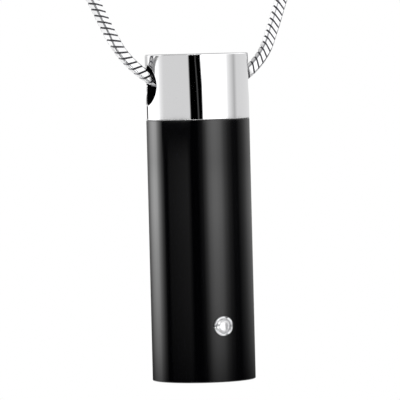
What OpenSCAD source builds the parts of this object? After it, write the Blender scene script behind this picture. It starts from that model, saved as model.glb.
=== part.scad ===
/* [Urn] */
// Outer diameter of the cap and the tube
urn_d = 12; // [10.5:0.5:16]
// Height from the base to the top of the cap
urn_h = 37.9; // [30:0.1:60]
// Height of the cap above the seam
cap_h = 7.6; // [7.2:0.1:10]
// Diameter of the hole across the cap that the chain runs through
chain_hole_d = 4.7; // [4.4:0.1:5]
// Depth of that hole's centre below the top of the cap
chain_hole_down = 3.55; // [3.2:0.05:4]
// Rounding of the edges at the seam and at the top of the cap
edge_r = 0.15; // [0.1:0.05:0.4]
// Rounding of the tube's bottom edge
base_edge_r = 0.4; // [0.2:0.1:1]

/* [Chamber and screw] */
// Diameter of the chamber for the ashes
chamber_d = 8; // [6.5:0.1:8.4]
// Thickness of the tube's floor
floor_t = 2; // [1:0.1:4]
// Length of the screw stud under the cap
stud_h = 5; // [3:0.1:8]
// Gap between the stud and the chamber's wall, which the thread fills
stud_gap = 0.1; // [0.05:0.05:0.3]
// Gap at the seam between the cap and the tube
seam_gap = 0.05; // [0.02:0.01:0.2]

/* [Stone] */
// Diameter of the cut stone
stone_d = 1.9; // [1.4:0.1:2.6]
// Diameter of the round setting that holds it
setting_d = 2.4; // [2:0.1:3.2]
// Height of the stone's centre above the base
stone_up = 6.5; // [3:0.1:20]
// Turn of the stone from the front, about the tube's axis
stone_turn = 7.5; // [-90:0.5:90]
// How far the setting stands out of the tube
setting_out = 0.3; // [0.1:0.05:0.6]
// Depth that the setting is let into the tube's wall
setting_in = 1.1; // [0.8:0.1:1.4]

/* [Chain] */
// Width of the square snake chain across its flats
chain_w = 1.2; // [0.9:0.1:1.4]
// Outer diameter of the round caps on the chain's ends
end_cap_d = 2.4; // [2.2:0.1:3]
// Length of those caps
end_cap_l = 4; // [3:0.5:6]
// Wire of the small loops on the end caps
loop_wire = 0.6; // [0.5:0.05:0.7]
// Wire of the two jump rings
ring_wire = 0.7; // [0.5:0.05:0.8]
// Diameter of the jump rings at the middle of their wire
ring_d = 3.4; // [3.2:0.1:4.5]
// Wire of the clasp's claw
claw_wire = 1.1; // [0.9:0.1:1.3]

/* [Hidden] */
$fn = 48;

STEEL = "gainsboro";
BLACK = "#26272b";
GLASS = "aliceblue";

// The origin is the middle of the clasp at the nape of the neck. The centre of the chain's hole lies here:
hole_y = -108;
hole_z = -144;
cap_top = chain_hole_down;
cap_low = cap_top - cap_h;
tube_top = cap_low - seam_gap;
base_z = cap_top - urn_h;
urn_r = urn_d / 2;
chamber_r = chamber_d / 2;
stone_z = base_z + stone_up;

// Points on the chain's centre line, from the middle of the hole to the right end at the nape
HALF_ROUTE = [
    [0, -108, -144.85], [2.2, -108, -144.6], [4.2, -108, -143.95], [5.8, -107.85, -143.05],
    [7.2, -107.5, -141.9], [8.5, -107, -140.4], [9.6, -106.2, -138.3], [11, -105.3, -135],
    [19.5, -99.3, -114.5], [30.5, -91.5, -88], [42, -82.5, -60.5], [51, -73, -39.5],
    [57, -61.5, -23], [60, -48.5, -12.5], [59, -34, -6], [53, -20, -2.5],
    [42.5, -9, -0.5], [30, -2.5, 0], [17, 0, 0], [10.5, 0, 0]];
half_count = len(HALF_ROUTE);
ROUTE = [for (i = [1 - half_count:half_count - 1])
    let (p = HALF_ROUTE[abs(i)]) [sign(i) * p[0], p[1], p[2]]];
// A direction square to the sloping plane that the loop lies in
LOOP_NORMAL = [0, -0.8, 0.6];
rings_per_span = 2;
tube_sides = 8;
// An eight-sided tube of this radius has the chain's own area between its flats and its corners
chain_tube_r = chain_w * 0.56;

// Places along X at the nape, outwards from the clasp's middle
link_gap = 0.15;
ring_r = ring_d / 2;
loop_r = 1.1;
claw_r = 1.9;
claw_straight = 2.2;
tail_r = 1.1;
tail_wire = 0.7;
shoulder_d = 2.2;
claw_x = 2.85;
tail_x = -4.55;
right_ring_x = claw_x + claw_straight / 2 + claw_r - claw_wire / 2 - link_gap - ring_wire / 2 + ring_r;
left_ring_x = tail_x - tail_r + tail_wire / 2 + link_gap + ring_wire / 2 - ring_r;
hook_over = loop_wire / 2 + link_gap + ring_wire / 2;
right_loop_x = right_ring_x + ring_r - hook_over + loop_r;
left_loop_x = left_ring_x - ring_r + hook_over - loop_r;
// Room round the chain's corners in the end caps, the thickness of their closed ends, and their hold on the loops
chain_gap = 0.03;
end_cap_floor = 0.6;
end_cap_overlap = 0.2;

function spans(route) = [for (i = [0:len(route) - 2]) norm(route[i + 1] - route[i])];
function slope(route, lengths, i) =
    i == 0 ? (route[1] - route[0]) / lengths[0] :
    i == len(route) - 1 ? (route[i] - route[i - 1]) / lengths[i - 1] :
    ((route[i] - route[i - 1]) / lengths[i - 1] * lengths[i]
        + (route[i + 1] - route[i]) / lengths[i] * lengths[i - 1]) / (lengths[i - 1] + lengths[i]);
function smooth(p, q, m, n, length, s) =
    (2 * s ^ 3 - 3 * s ^ 2 + 1) * p + (s ^ 3 - 2 * s ^ 2 + s) * length * m
        + (3 * s ^ 2 - 2 * s ^ 3) * q + (s ^ 3 - s ^ 2) * length * n;
function curve(route, steps) =
    let (lengths = spans(route), last = len(route) - 1)
    [for (i = [0:last - 1], k = [0:steps - 1])
        smooth(route[i], route[i + 1], slope(route, lengths, i), slope(route, lengths, i + 1),
            lengths[i], k / steps), route[last]];
function unit(v) = v / norm(v);
function ring(p, along, radius, sides) =
    let (side = unit(cross(along, LOOP_NORMAL)), up = cross(side, along))
    [for (k = [0:sides - 1]) let (a = 360 * (k + 0.5) / sides)
        p + radius * (cos(a) * side + sin(a) * up)];

// A round tube along a centre line, closed at both ends
module swept_tube(line, radius, sides) {
    last = len(line) - 1;
    points = [for (i = [0:last]) each ring(line[i],
        unit(line[min(i + 1, last)] - line[max(i - 1, 0)]), radius, sides)];
    walls = [for (i = [0:last - 1], k = [0:sides - 1])
        let (a = i * sides + k, b = i * sides + (k + 1) % sides)
        [a, b, b + sides, a + sides]];
    ends = [[for (k = [sides - 1:-1:0]) k], [for (k = [0:sides - 1]) last * sides + k]];
    polyhedron(points, concat(walls, ends), convexity = 10);
}

// Half the section of a bar turned about Z, with its two outer edges rounded
module bar_half(radius, low, high, low_r, high_r) {
    translate([0, low]) square([radius - low_r, high - low]);
    translate([0, low + low_r]) square([radius, high - low - low_r - high_r]);
    translate([0, low]) square([radius - high_r, high - low]);
    translate([radius - low_r, low + low_r]) circle(low_r);
    translate([radius - high_r, high - high_r]) circle(high_r);
}

module at_urn() {
    translate([0, hole_y, hole_z]) children();
}

// Puts its children with +Z pointing out of the tube at the stone, on the tube's surface
module at_stone() {
    at_urn() rotate([0, 0, stone_turn]) translate([0, -urn_r, stone_z]) rotate([90, 0, 0]) children();
}

module torus(middle_r, wire) {
    rotate_extrude() translate([middle_r, 0]) circle(d = wire);
}

module snake_chain() {
    color(STEEL) swept_tube(curve(ROUTE, rings_per_span), chain_tube_r, tube_sides);
}

// A round cap over a chain's end, open towards +X, with a soldered loop at x = 0
module end_cap() {
    start = loop_r + loop_wire / 2 - end_cap_overlap;
    socket = end_cap_l - end_cap_floor;
    color(STEEL) union() {
        rotate([90, 0, 0]) torus(loop_r, loop_wire);
        translate([start, 0, 0]) rotate([0, 90, 0]) difference() {
            cylinder(h = end_cap_l, d = end_cap_d);
            translate([0, 0, end_cap_l - socket]) cylinder(h = socket + 1, r = chain_w * sqrt(0.5) + chain_gap);
        }
    }
}

module end_cap_right() {
    translate([right_loop_x, 0, 0]) end_cap();
}

module end_cap_left() {
    translate([left_loop_x, 0, 0]) mirror([1, 0, 0]) end_cap();
}

module jump_ring_right() {
    color(STEEL) translate([right_ring_x, 0, 0]) torus(ring_r, ring_wire);
}

module jump_ring_left() {
    color(STEEL) translate([left_ring_x, 0, 0]) torus(ring_r, ring_wire);
}

// A long closed loop of wire in the XZ plane: half rings at both ends and two straight sides
module long_loop(middle_r, wire, straight) {
    for (side = [-1, 1]) translate([side * straight / 2, 0, 0]) rotate([90, 0, 0])
        rotate([0, 0, side * -90]) rotate_extrude(angle = 180) translate([middle_r, 0]) circle(d = wire);
    for (side = [-1, 1]) translate([-straight / 2, 0, side * middle_r]) rotate([0, 90, 0])
        cylinder(h = straight, d = wire);
}

// A lobster clasp in one piece: a closed claw, a shoulder and a tail loop
module clasp() {
    shoulder_low = tail_x + tail_r - 0.1;
    shoulder_high = claw_x - claw_straight / 2 - claw_r + 0.3;
    color(STEEL) union() {
        translate([claw_x, 0, 0]) long_loop(claw_r, claw_wire, claw_straight);
        translate([tail_x, 0, 0]) rotate([90, 0, 0]) torus(tail_r, tail_wire);
        translate([shoulder_low, 0, 0]) rotate([0, 90, 0])
            cylinder(h = shoulder_high - shoulder_low, d = shoulder_d);
    }
}

module urn_cap() {
    color(STEEL) at_urn() difference() {
        union() {
            rotate_extrude() bar_half(urn_r, cap_low, cap_top, edge_r, edge_r);
            translate([0, 0, cap_low - stud_h]) cylinder(h = stud_h + 1, r = chamber_r - stud_gap);
        }
        rotate([0, 90, 0]) cylinder(h = 2 * urn_d, d = chain_hole_d, center = true);
    }
}

module urn_tube() {
    color(BLACK) difference() {
        at_urn() difference() {
            rotate_extrude() bar_half(urn_r, base_z, tube_top, base_edge_r, edge_r);
            translate([0, 0, base_z + floor_t]) cylinder(h = urn_h, r = chamber_r);
        }
        at_stone() translate([0, 0, -setting_in]) cylinder(h = 3, d = setting_d + 0.04);
    }
}

// A cup with a straight rim round the stone and a conical seat under it
module stone_setting() {
    stone_r = stone_d / 2;
    color(STEEL) at_stone() difference() {
        translate([0, 0, 0.02 - setting_in]) cylinder(h = setting_in + setting_out - 0.02, d = setting_d);
        translate([0, 0, setting_out - 0.35]) cylinder(h = 1, r = stone_r + 0.05);
        translate([0, 0, setting_out - 1.25]) cylinder(h = 0.9, r1 = 0.1, r2 = stone_r + 0.05);
    }
}

// A brilliant cut: a table, 8 star, 8 kite and 16 girdle facets above, 16 facets and a point below
module stone() {
    r = stone_d / 2;
    table = [for (k = [0:7]) let (a = 45 * k) [0.55 * r * cos(a), 0.55 * r * sin(a), 0.32 * r]];
    star = [for (k = [0:7]) let (a = 45 * k + 22.5) [0.74 * r * cos(a), 0.74 * r * sin(a), 0.22 * r]];
    girdle = [for (k = [0:15]) let (a = 22.5 * k) [r * cos(a), r * sin(a), 0.03 * r]];
    under = [for (k = [0:15]) let (a = 22.5 * k) [r * cos(a), r * sin(a), -0.03 * r]];
    culet = [[0, 0, -0.86 * r]];
    points = concat(table, star, girdle, under, culet);
    faces = concat(
        [[for (k = [7:-1:0]) k]],
        [for (k = [0:7]) [k, (k + 1) % 8, 8 + k]],
        [for (k = [0:7]) [k, 8 + k, 16 + 2 * k]],
        [for (k = [0:7]) [k, 16 + 2 * k, 8 + (k + 7) % 8]],
        [for (k = [0:7]) [8 + k, 16 + (2 * k + 1), 16 + 2 * k]],
        [for (k = [0:7]) [8 + k, 16 + (2 * k + 2) % 16, 16 + 2 * k + 1]],
        [for (k = [0:15]) [16 + k, 16 + (k + 1) % 16, 32 + (k + 1) % 16, 32 + k]],
        [for (k = [0:15]) [32 + k, 32 + (k + 1) % 16, 48]]);
    color(GLASS) at_stone() translate([0, 0, setting_out - 0.3]) polyhedron(points, faces);
}

snake_chain();
end_cap_left();
end_cap_right();
jump_ring_left();
jump_ring_right();
clasp();
urn_cap();
urn_tube();
stone_setting();
stone();
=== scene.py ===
"""Looks of a keepsake urn pendant on a square snake chain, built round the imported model.

Lengths in the shapes and tables are in millimetres. The properties and the finished meshes hold metres.
"""

import math

import bmesh
import bpy
from bpy.props import FloatProperty, FloatVectorProperty, IntProperty, PointerProperty
from bpy.types import Operator, Panel, PropertyGroup
from mathutils import Matrix, Vector


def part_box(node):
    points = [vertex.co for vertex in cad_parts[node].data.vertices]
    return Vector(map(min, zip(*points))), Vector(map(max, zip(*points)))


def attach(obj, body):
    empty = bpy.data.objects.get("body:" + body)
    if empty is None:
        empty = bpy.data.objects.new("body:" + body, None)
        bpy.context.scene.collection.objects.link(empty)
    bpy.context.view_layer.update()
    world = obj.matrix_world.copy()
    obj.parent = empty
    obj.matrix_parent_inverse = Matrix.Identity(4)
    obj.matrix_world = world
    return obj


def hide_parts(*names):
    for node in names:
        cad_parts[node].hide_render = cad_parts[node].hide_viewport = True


bl_info = {
    "name": "Keepsake urn pendant",
    "version": (1, 0, 0),
    "blender": (4, 5, 0),
    "location": "3D View > Sidebar > Pendant",
    "description": "Dresses an urn pendant, its chain and its clasp, and lights them",
    "category": "Object",
}

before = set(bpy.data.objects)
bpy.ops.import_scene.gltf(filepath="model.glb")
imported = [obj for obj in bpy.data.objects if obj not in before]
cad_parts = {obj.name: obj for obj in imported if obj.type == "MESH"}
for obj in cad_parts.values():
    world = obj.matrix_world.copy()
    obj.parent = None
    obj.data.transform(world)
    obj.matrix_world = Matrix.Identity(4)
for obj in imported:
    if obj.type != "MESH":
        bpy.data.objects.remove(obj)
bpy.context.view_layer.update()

MM = 0.001
X_WAY, Y_WAY, Z_WAY = Vector((1, 0, 0)), Vector((0, 1, 0)), Vector((0, 0, 1))
CAP_LOW, CAP_HIGH = (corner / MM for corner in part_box("urn_cap"))
TUBE_LOW, TUBE_HIGH = (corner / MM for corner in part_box("urn_tube"))
URN_MIDDLE = (CAP_LOW + CAP_HIGH) / 2
URN_AXIS = Vector((URN_MIDDLE.x, URN_MIDDLE.y, 0))
URN_AXES = (URN_AXIS, X_WAY, Y_WAY, Z_WAY)

# The chain's centre line, from the middle of the cap's hole to the right end at the nape
HALF_ROUTE = (
    (0, -108, -144.85), (2.2, -108, -144.6), (4.2, -108, -143.95), (5.8, -107.85, -143.05),
    (7.2, -107.5, -141.9), (8.5, -107, -140.4), (9.6, -106.2, -138.3), (11, -105.3, -135),
    (19.5, -99.3, -114.5), (30.5, -91.5, -88), (42, -82.5, -60.5), (51, -73, -39.5),
    (57, -61.5, -23), (60, -48.5, -12.5), (59, -34, -6), (53, -20, -2.5),
    (42.5, -9, -0.5), (30, -2.5, 0), (17, 0, 0), (10.5, 0, 0),
)
ROUTE_STEP = 0.4
LOOP_NORMAL = Vector((0, -0.8, 0.6))
# Turn of the chain's first flat from the loop's normal, in degrees, by the distance from the hole's middle
CHAIN_TURNS = (
    (-244, -17), (-13.5, -15), (-10.5, 13), (-8.5, 19), (-7.2, 22), (-5.5, 29),
    (0, 31), (6, 39), (8, 37), (10.5, 28), (13, 26), (244, 26),
)
# The side of a link, as (height in pitches, depth in seam depths): a flat with a slope to the seam at each end
LINK_SIDE = ((-0.5, 1), (-0.34, 0), (0.34, 0), (0.5, 1))
FLAT, SEAM, CORNER = range(3)

# Steps round half of the urn's wall, up its edges, and in rows from a hole out to them
WALL_STEPS, SIDE_STEPS, WALL_ROWS = 48, 32, 30
# How much those rows crowd towards the hole
WALL_CROWDING = 1.25
RIM_ROWS, BORE_ROWS = 6, 8
# A thread's profile: the slope of its flanks, the share of it that the root cuts off, and its rows to a pitch
THREAD_SLOPE, THREAD_ROOT, THREAD_ROWS = 1.7, 0.35, 10
# Points of a skin that fall in the same step of this many to a millimetre are one point
STEPS_TO_MM = 2000


def linear(shade):
    """An sRGB hex colour as linear red, green and blue."""
    parts = [int(shade[k : k + 2], 16) / 255 for k in (1, 3, 5)]
    return tuple(c / 12.92 if c <= 0.04045 else ((c + 0.055) / 1.055) ** 2.4 for c in parts)


def length(name, description, default):
    """A length as a property, from its default in millimetres."""
    return FloatProperty(name=name, description=description, default=default * MM, subtype="DISTANCE")


def angle(name, description, default):
    """An angle as a property, from its default in degrees."""
    return FloatProperty(name=name, description=description, default=math.radians(default), subtype="ANGLE")


def colour(name, description, shade):
    """A colour as a property, from its sRGB hex value."""
    return FloatVectorProperty(name=name, description=description, default=linear(shade), subtype="COLOR")


class UrnSizes(PropertyGroup):
    radius: length("Radius", "Outer radius of the cap and the tube", (TUBE_HIGH.x - TUBE_LOW.x) / 2)
    edge: length("Top edge", "Rounding of the cap's top edge", 0.15)
    seam_edge: length("Seam edge", "Rounding of the cap's lower edge", 0.06)
    tube_edge: length("Tube edge", "Rounding of the tube's top edge", 0.03)
    base_edge: length("Base edge", "Rounding of the tube's bottom edge", 0.1)
    hole: length("Hole", "Radius of the hole that the chain runs through", 2.27)
    hole_height: length("Hole height", "Height of the hole's centre", -144)
    hole_edge: length("Hole edge", "Rounding of the hole's rim", 0.14)
    seam: length("Seam", "Height of the lower edge of the cap's wall", -148.05)
    chamber: length("Chamber", "Radius of the chamber for the ashes", 4)
    chamber_edge: length("Chamber edge", "Bevel of the chamber's mouth", 0.15)
    floor: length("Floor", "Thickness of the tube's floor", 2)
    floor_edge: length("Floor edge", "Rounding between the chamber's floor and its wall", 0.5)
    stud: length("Stud", "Radius of the screw stud over its thread", 3.9)
    stud_edge: length("Stud edge", "Bevel of the stud's tip", 0.3)
    thread_pitch: length("Thread pitch", "Pitch of the screw thread", 0.75)
    thread_depth: length("Thread depth", "Depth of the stud's thread", 0.26)
    groove_depth: length("Groove depth", "Depth of the thread cut into the chamber's wall", 0.25)
    groove_length: length("Groove length", "Length of the thread in the chamber", 5.6)


class StoneSizes(PropertyGroup):
    turn: angle("Turn", "Turn of the stone from the tube's front", 7.5)
    height: length("Height", "Height of the stone's centre", -171.85)
    recess: length("Recess", "Radius of the round recess for the setting", 1.17)
    recess_depth: length("Recess depth", "Depth of that recess", 1.1)
    setting: length("Setting", "Outer radius of the setting", 1.15)
    seat: length("Seat", "Inner radius of the setting's rim", 1.0)
    seat_depth: length("Seat depth", "Depth of the conical seat under the rim's top", 1.25)
    proud: length("Proud", "How far the setting stands out of the tube", 0.3)
    roll: length("Roll", "Rounding of the rim's outside", 0.14)
    lip: length("Lip", "Radius of the rim's roll over the stone's edge", 0.16)
    notch: length("Notch", "Depth of the two notches in the rim", 0.26)
    notch_turn: angle("Notch turn", "Angle of the notches above and below the stone's right side", 72)
    notch_half: angle("Notch width", "Half the angle that a notch takes up", 12)


class ChainSizes(PropertyGroup):
    width: length("Width", "Width of the chain across its flats", 1.2)
    corner: length("Corner", "Rounding of the links' corners", 0.27)
    pitch: length("Pitch", "Distance from one link to the next", 0.7945)
    shift: length("Shift", "Shift of the links along the chain", 0.09)
    seam_depth: length("Seam depth", "Depth of the seams between the links", 0.2)
    starts: IntProperty(
        name="Starts", description="Links that a seam climbs in one turn round the chain", default=3
    )


class FittingSizes(PropertyGroup):
    cap_radius: length("End cap", "Radius of the chain's end caps", 1.2)
    cap_length: length("End cap length", "Length of the chain's end caps", 4)
    socket: length("Socket", "Radius of the end caps' sockets", 0.879)
    loop: length("Loop", "Radius of the end caps' loops", 1.1)
    loop_wire: length("Loop wire", "Radius of the loops' wire", 0.3)
    ring: length("Jump ring", "Radius of the jump rings", 1.7)
    ring_wire: length("Ring wire", "Radius of the jump rings' wire", 0.35)
    claw: length("Claw", "Radius of the bends of the clasp's claw", 1.9)
    claw_straight: length("Claw length", "Straight length of the claw", 2.2)
    claw_wire: length("Claw wire", "Radius of the claw's wire", 0.55)
    tail: length("Tail", "Radius of the clasp's tail ring", 1.1)
    tail_wire: length("Tail wire", "Radius of the tail ring's wire", 0.35)


class Finishes(PropertyGroup):
    steel: colour("Steel", "Colour of the polished steel", "#eeeeef")
    # Painted reflection: this grey on the links' corners stands in for the dark reflection that runs along them
    corners: colour("Corners", "Colour of the steel with a painted dark reflection at the links' corners", "#b2b3b6")
    # Painted shade: this grey stands in for the shade in the links' seams and in the end caps' sockets
    seams: colour("Seams", "Colour of the shadowed steel in the seams", "#8e8e92")
    # Painted shade: the drilled hole's wall is near black for the shade inside the cap
    bore: colour("Bore", "Colour of the drilled hole's wall", "#1c1c1e")
    lathed: colour("Lathed", "Colour of the bare steel of threads and chamber", "#b9babc")
    rim: colour("Rim", "Colour of the setting's rim", "#e6e7e9")
    seat: colour("Seat", "Colour of the seat under the stone", "#fafafa")
    coat: colour("Black coat", "Colour of the tube's black coat", "#020203")
    stone: colour("Stone", "Colour of the clear stone", "#fdfdff")
    paper: colour("Paper", "Colour of the studio's floor", "#f2f2f1")


class Studio(PropertyGroup):
    turn: angle("Camera turn", "Turn of the camera round the urn", -15.25)
    lift: angle("Camera lift", "Camera's angle above the urn's middle", 2.35)
    distance: length("Distance", "Camera's distance from the urn's middle", 497)
    aim_turn: angle("Aim turn", "Direction that the camera looks in", -15.252)
    aim_lift: angle("Aim lift", "Downward angle of the camera's view", 2.129)
    roll: angle("Roll", "Roll of the camera", -1.42)
    lens: FloatProperty(
        name="Lens", description="Focal length for a sensor 36 mm wide", default=384.6, unit="CAMERA"
    )
    floor: length("Floor", "Height of the studio's floor", -250)
    floor_radius: length("Floor radius", "Radius of the studio's floor", 600)
    tent: length("Tent", "Radius of the light tent round the urn", 300)


class Pendant(PropertyGroup):
    urn: PointerProperty(type=UrnSizes)
    stone: PointerProperty(type=StoneSizes)
    chain: PointerProperty(type=ChainSizes)
    fittings: PointerProperty(type=FittingSizes)
    finishes: PointerProperty(type=Finishes)
    studio: PointerProperty(type=Studio)


class Sizes:
    """A group's values, with its lengths in millimetres and its angles in radians."""

    def __init__(self, context, name):
        group = getattr(context.scene.pendant, name)
        for key in group.__annotations__:
            value = getattr(group, key)
            is_length = group.bl_rna.properties[key].unit == "LENGTH"
            setattr(self, key, value / MM if is_length else value)


def add_node(tree, kind, inputs=None, **settings):
    """Adds a node, sets it, and links or fills its inputs."""
    made = tree.nodes.new(kind)
    for name, value in settings.items():
        setattr(made, name, value)
    for key, value in (inputs or {}).items():
        if isinstance(value, bpy.types.NodeSocket):
            tree.links.new(value, made.inputs[key])
        else:
            made.inputs[key].default_value = value
    return made


class Skin:
    """Gathers patches of points, each with its own normal, into one closed mesh."""

    def __init__(self):
        self.points, self.known, self.faces, self.normals, self.finishes = [], {}, [], [], []

    def place(self, point):
        key = tuple(round(c * STEPS_TO_MM) for c in point)
        if key not in self.known:
            self.known[key] = len(self.points)
            self.points.append(Vector(point))
        return self.known[key]

    def face(self, corners, finish=0):
        ids = [self.place(point) for point, _ in corners]
        keep = [k for k in range(len(ids)) if ids[k] != ids[k - 1]]
        if len({ids[k] for k in keep}) < max(3, len(keep)):
            return
        flat = Vector()
        for k in range(len(keep)):
            flat += self.points[ids[keep[k - 1]]].cross(self.points[ids[keep[k]]])
        if flat.dot(sum((corners[k][1] for k in keep), Vector())) < 0:
            keep.reverse()
        self.faces.append([ids[k] for k in keep])
        self.normals.extend(corners[k][1].normalized() for k in keep)
        self.finishes.append(finish)

    def grid(self, rows, finish=0, closed=False):
        """Quads between rows of (point, normal). A closed grid joins the last of each row to its first."""
        for low, high in zip(rows, rows[1:]):
            for k in range(len(low) - (0 if closed else 1)):
                n = (k + 1) % len(low)
                self.face([low[k], low[n], high[n], high[k]], finish)

    def mesh(self, name, materials):
        data = bpy.data.meshes.new(name)
        data.from_pydata([p * MM for p in self.points], [], self.faces)
        for material in materials:
            data.materials.append(material)
        data.polygons.foreach_set("material_index", self.finishes)
        data.shade_smooth()
        data.normals_split_custom_set(self.normals)
        return data


def show(name, data, body, slot, *nodes):
    """Puts a finished mesh in the scene as a piece of a body, in place of its solids."""
    piece = bpy.data.objects.new(name, data)
    bpy.context.scene.collection.objects.link(piece)
    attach(piece, body)
    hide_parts(*nodes)
    return piece


def arc(radius, height, size, start, end, steps):
    """Points (radius, height, normal out, normal up) of a rounded edge, by angles in degrees."""
    angles = [math.radians(start + (end - start) * k / steps) for k in range(steps + 1)]
    return [(radius + size * math.cos(a), height + size * math.sin(a), math.cos(a), math.sin(a)) for a in angles]


def line(r0, z0, r1, z1, steps=1):
    """Points of a straight stretch of a turned profile, whose outside is on the right of its direction."""
    out, up = z1 - z0, r0 - r1
    size = math.hypot(out, up)
    return [
        (r0 + (r1 - r0) * k / steps, z0 + (z1 - z0) * k / steps, out / size, up / size) for k in range(steps + 1)
    ]


def full_turn(count):
    """Even angles once round, in radians."""
    return [2 * math.pi * k / count for k in range(count)]


def circle(centre, radius, across, up, count):
    return [centre + (across * math.cos(a) + up * math.sin(a)) * radius for a in full_turn(count)]


def turned(skin, profile, axes, turns, finish=0, change=None):
    """Turns a profile about an axis. axes are the origin, the two directions across it and the one along it."""
    origin, across, side, along = axes
    rows = []
    for radius, height, out, up in profile:
        row = []
        for a in turns:
            spoke = across * math.cos(a) + side * math.sin(a)
            wide = radius + (change(a, radius, height) if change else 0)
            row.append((origin + spoke * wide + along * height, spoke * out + along * up))
        rows.append(row)
    skin.grid(rows, finish, closed=True)


def wall_turns(middle):
    """The angles of the wall's even columns, which start a quarter turn before the middle of a hole."""
    return [middle - math.pi / 2 + math.pi * k / WALL_STEPS for k in range(2 * WALL_STEPS)]


def rim_angles():
    """The angles round a hole's rim, a quarter for each side of the half wall that it lies in."""
    quarters = (SIDE_STEPS, WALL_STEPS, SIDE_STEPS, WALL_STEPS)
    return [math.radians(-45 + 90 * (q + k / n)) for q, n in enumerate(quarters) for k in range(n)]


def wall_edge(middle, low, high):
    """The (turn, height) points along the four edges of a half wall, matching rim_angles."""
    quarter = math.pi / 2
    corners = ((quarter, low), (quarter, high), (-quarter, high), (-quarter, low))
    points = []
    for side, n in enumerate((SIDE_STEPS, WALL_STEPS, SIDE_STEPS, WALL_STEPS)):
        a, b = corners[side], corners[(side + 1) % 4]
        points += [(middle + a[0] + (b[0] - a[0]) * k / n, a[1] + (b[1] - a[1]) * k / n) for k in range(n)]
    return points


def on_wall(radius, turn, height):
    """A point of the urn's wall and the wall's normal there."""
    spoke = Vector((math.cos(turn), math.sin(turn), 0))
    return URN_AXIS + spoke * radius + Vector((0, 0, height)), spoke


def holed_wall(skin, radius, rim, edge):
    """The half of the urn's wall round a hole, in rows from the hole's rim out to the half's edges."""
    rows = []
    for k in range(WALL_ROWS + 1):
        f = (k / WALL_ROWS) ** WALL_CROWDING
        rows.append([
            on_wall(radius, a[0] + (b[0] - a[0]) * f, a[1] + (b[1] - a[1]) * f) for a, b in zip(rim, edge)
        ])
    skin.grid(rows, closed=True)


def thread(skin, low, high, root, crest, pitch, turns, finish, inside=False, fade=0.4):
    """A screw thread as rows up a cylinder, fading out at both ends."""

    def radius(a, z):
        phase = (z / pitch - a / (2 * math.pi)) % 1
        rise = min(1, max(0, abs(2 * phase - 1) * THREAD_SLOPE - THREAD_ROOT))
        ends = min(1, max(0, (z - low) / fade), max(0, (high - z) / fade))
        return root + (crest - root) * rise * ends

    count = math.ceil((high - low) / (pitch / THREAD_ROWS))
    near = 0.01
    rows = []
    for k in range(count + 1):
        z = low + (high - low) * k / count
        row = []
        for a in turns:
            r = radius(a, z)
            spoke, side = Vector((math.cos(a), math.sin(a), 0)), Vector((-math.sin(a), math.cos(a), 0))
            climb = (radius(a, z + near) - radius(a, z - near)) / (2 * near)
            swing = (radius(a + near, z) - radius(a - near, z)) / (2 * near) / r
            normal = (spoke - side * swing - Vector((0, 0, climb))) * (-1 if inside else 1)
            row.append((URN_AXIS + spoke * r + Vector((0, 0, z)), normal))
        rows.append(row)
    skin.grid(rows, finish, closed=True)


def wire(skin, path, radii, sides=20):
    """Round wire along a closed path of points."""
    rows = []
    for k, point in enumerate(path):
        along = (path[(k + 1) % len(path)] - path[k - 1]).normalized()
        across = Y_WAY - along * along.y
        if across.length < 0.1:
            across = Z_WAY - along * along.z
        across.normalize()
        up = along.cross(across)
        spokes = [across * math.cos(a) + up * math.sin(a) for a in full_turn(sides)]
        rows.append([(point + spoke * radii[k], spoke) for spoke in spokes])
    skin.grid(rows + rows[:1], closed=True)


def hairlines(tree, spacing, strength, axis):
    """A bump of fine lines left by a wheel, a drill or a lathe, spaced along an axis of the object."""
    # Real lines are some 0.01 mm apart. These are drawn about ten times as coarse, so that they show.
    across_lines = 1 / (spacing * MM)
    along_lines = 0.02 / (spacing * MM)
    stretch = [across_lines if k == axis else along_lines for k in range(3)]
    place = add_node(tree, "ShaderNodeTexCoord").outputs["Object"]
    stretched = add_node(tree, "ShaderNodeMapping", {"Vector": place, "Scale": stretch}).outputs[0]
    lines = add_node(tree, "ShaderNodeTexNoise", {"Vector": stretched, "Scale": 1.0, "Detail": 2.0})
    return add_node(
        tree, "ShaderNodeBump", {"Height": lines.outputs[0], "Strength": strength, "Distance": 0.004 * MM}
    ).outputs[0]


def cloudy(tree, size, low, high):
    """A value that drifts between low and high over patches of a size."""
    place = add_node(tree, "ShaderNodeTexCoord").outputs["Object"]
    clouds = add_node(tree, "ShaderNodeTexNoise", {"Vector": place, "Scale": 1 / (size * MM), "Detail": 3.0})
    return add_node(
        tree, "ShaderNodeMapRange",
        {"Value": clouds.outputs[0], "From Min": 0.3, "From Max": 0.7, "To Min": low, "To Max": high},
    ).outputs[0]


METAL = {"Metallic": 1}


def surface(name, shade, haze, lines=None, traits=METAL):
    """A material by its colour, haze (patch size, least and most roughness), hairlines and traits."""
    if name in bpy.data.materials:
        return bpy.data.materials[name]
    material = bpy.data.materials.new(name)
    material.use_nodes = True
    tree = material.node_tree
    tree.nodes.clear()
    inputs = {"Base Color": (*shade, 1), "Roughness": cloudy(tree, *haze), **traits}
    if lines:
        inputs["Normal"] = hairlines(tree, *lines)
    shader = add_node(tree, "ShaderNodeBsdfPrincipled", inputs)
    add_node(tree, "ShaderNodeOutputMaterial", {"Surface": shader.outputs[0]})
    return material


def mirror_steel(look):
    # Stainless steel buffed on a wheel to a mirror: reflections stay sharp, with a trace of haze from handling
    return surface("mirror polished stainless steel", look.steel, (2.5, 0.01, 0.03), (0.12, 0.02, 2))


def bore_shade_steel(look):
    # The cross hole as the drill left it, with fine rings: its wall painted near black for the shade inside the
    # cap
    return surface("drilled stainless steel", look.bore, (0.8, 0.3, 0.45), (0.1, 0.5, 0))


def chain_steel(look):
    # Stainless steel links tumbled bright: a little softer than the cap, so their flats glow white
    return surface("tumbled stainless steel", look.steel, (1.2, 0.1, 0.2))


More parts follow.
